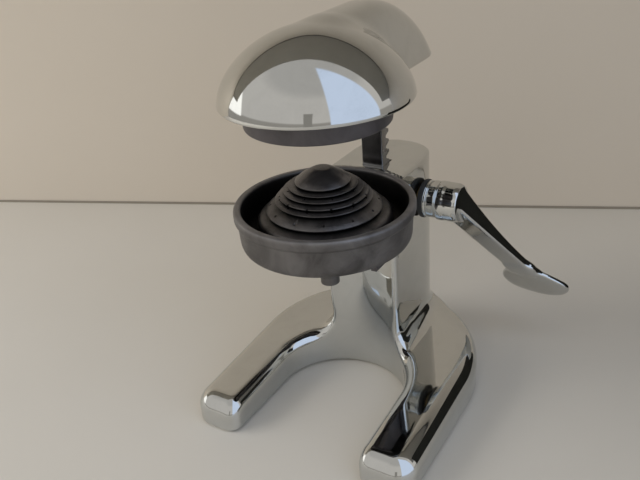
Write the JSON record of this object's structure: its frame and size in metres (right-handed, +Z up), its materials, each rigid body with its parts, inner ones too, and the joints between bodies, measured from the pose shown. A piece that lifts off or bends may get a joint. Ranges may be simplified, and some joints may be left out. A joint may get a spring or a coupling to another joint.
{
  "type": "citrus press",
  "caption": "Free-standing citrus press: a side lever turns a pinion that drives a rack, bringing a domed head down over a stepped strainer cone in a bowl with a spout",
  "frame": {"origin": "under the middle of the whole press, at the level of the table that the feet stand on; the upright axis of the bowl, strainer and head is at x -0.019, y -0.0408", "axes": "+X towards the lever's side, +Y towards the column at the back, +Z up; the open ends of the base point to -Y"},
  "size_m": [0.2001, 0.2036, 0.2602],
  "materials": {
    "black_rubber": "black rubber",
    "bush_bronze": "turned bearing bronze",
    "cast_grey": "dull grey cast metal, darkened by juice, lighter where the rim is worn",
    "polished_chrome": "polished chrome plate, a little worn",
    "rack_steel": "machined steel, dark with grease",
    "screw_steel": "zinc plated steel"
  },
  "bodies": {
    "stand": {"body_casting": "polished_chrome", "bowl_support": "cast_grey", "bowl_support_screws": "screw_steel", "foot_front_left": "black_rubber", "foot_front_right": "black_rubber", "foot_rear_left": "black_rubber", "foot_rear_right": "black_rubber", "foot_screws": "screw_steel", "friction_washer": "black_rubber", "left_bush": "bush_bronze", "right_bush": "bush_bronze"},
    "lever_set": {"lever": "polished_chrome", "pinion_shaft": "rack_steel", "pinion": "rack_steel", "pinion_key": "rack_steel", "steel_washer": "polished_chrome", "lever_set_screw": "screw_steel", "end_washer": "screw_steel", "end_screw": "screw_steel"},
    "press_head": {"rack": "rack_steel", "rack_stop_screw": "screw_steel", "head_shell": "polished_chrome", "pressing_cup": "cast_grey", "cup_screws": "screw_steel", "rack_screws": "screw_steel"},
    "juice_bowl": {"bowl": "cast_grey"},
    "strainer": {"strainer_cone": "cast_grey"}
  },
  "joints": [
    {"name": "lever_turn", "type": "hinge", "parent": "stand", "child": "lever_set", "pos_m": [-0.019, 0.04165, 0.125], "axis": [1, 0, 0], "range_deg": [0, 275]},
    {"name": "press_slide", "type": "slide", "parent": "stand", "child": "press_head", "axis": [0, 0, 1], "range_m": [-0.054, 0]},
    {"name": "bowl_turn", "type": "hinge", "parent": "stand", "child": "juice_bowl", "pos_m": [-0.019, -0.0408, 0.12], "axis": [0, 0, 1], "continuous": true},
    {"name": "strainer_turn", "type": "hinge", "parent": "juice_bowl", "child": "strainer", "pos_m": [-0.019, -0.0408, 0.14], "axis": [0, 0, 1], "continuous": true}
  ],
  "couplings": [
    {"joint": "press_slide", "follows": "lever_turn", "m_per_rad": -0.01125}
  ]
}
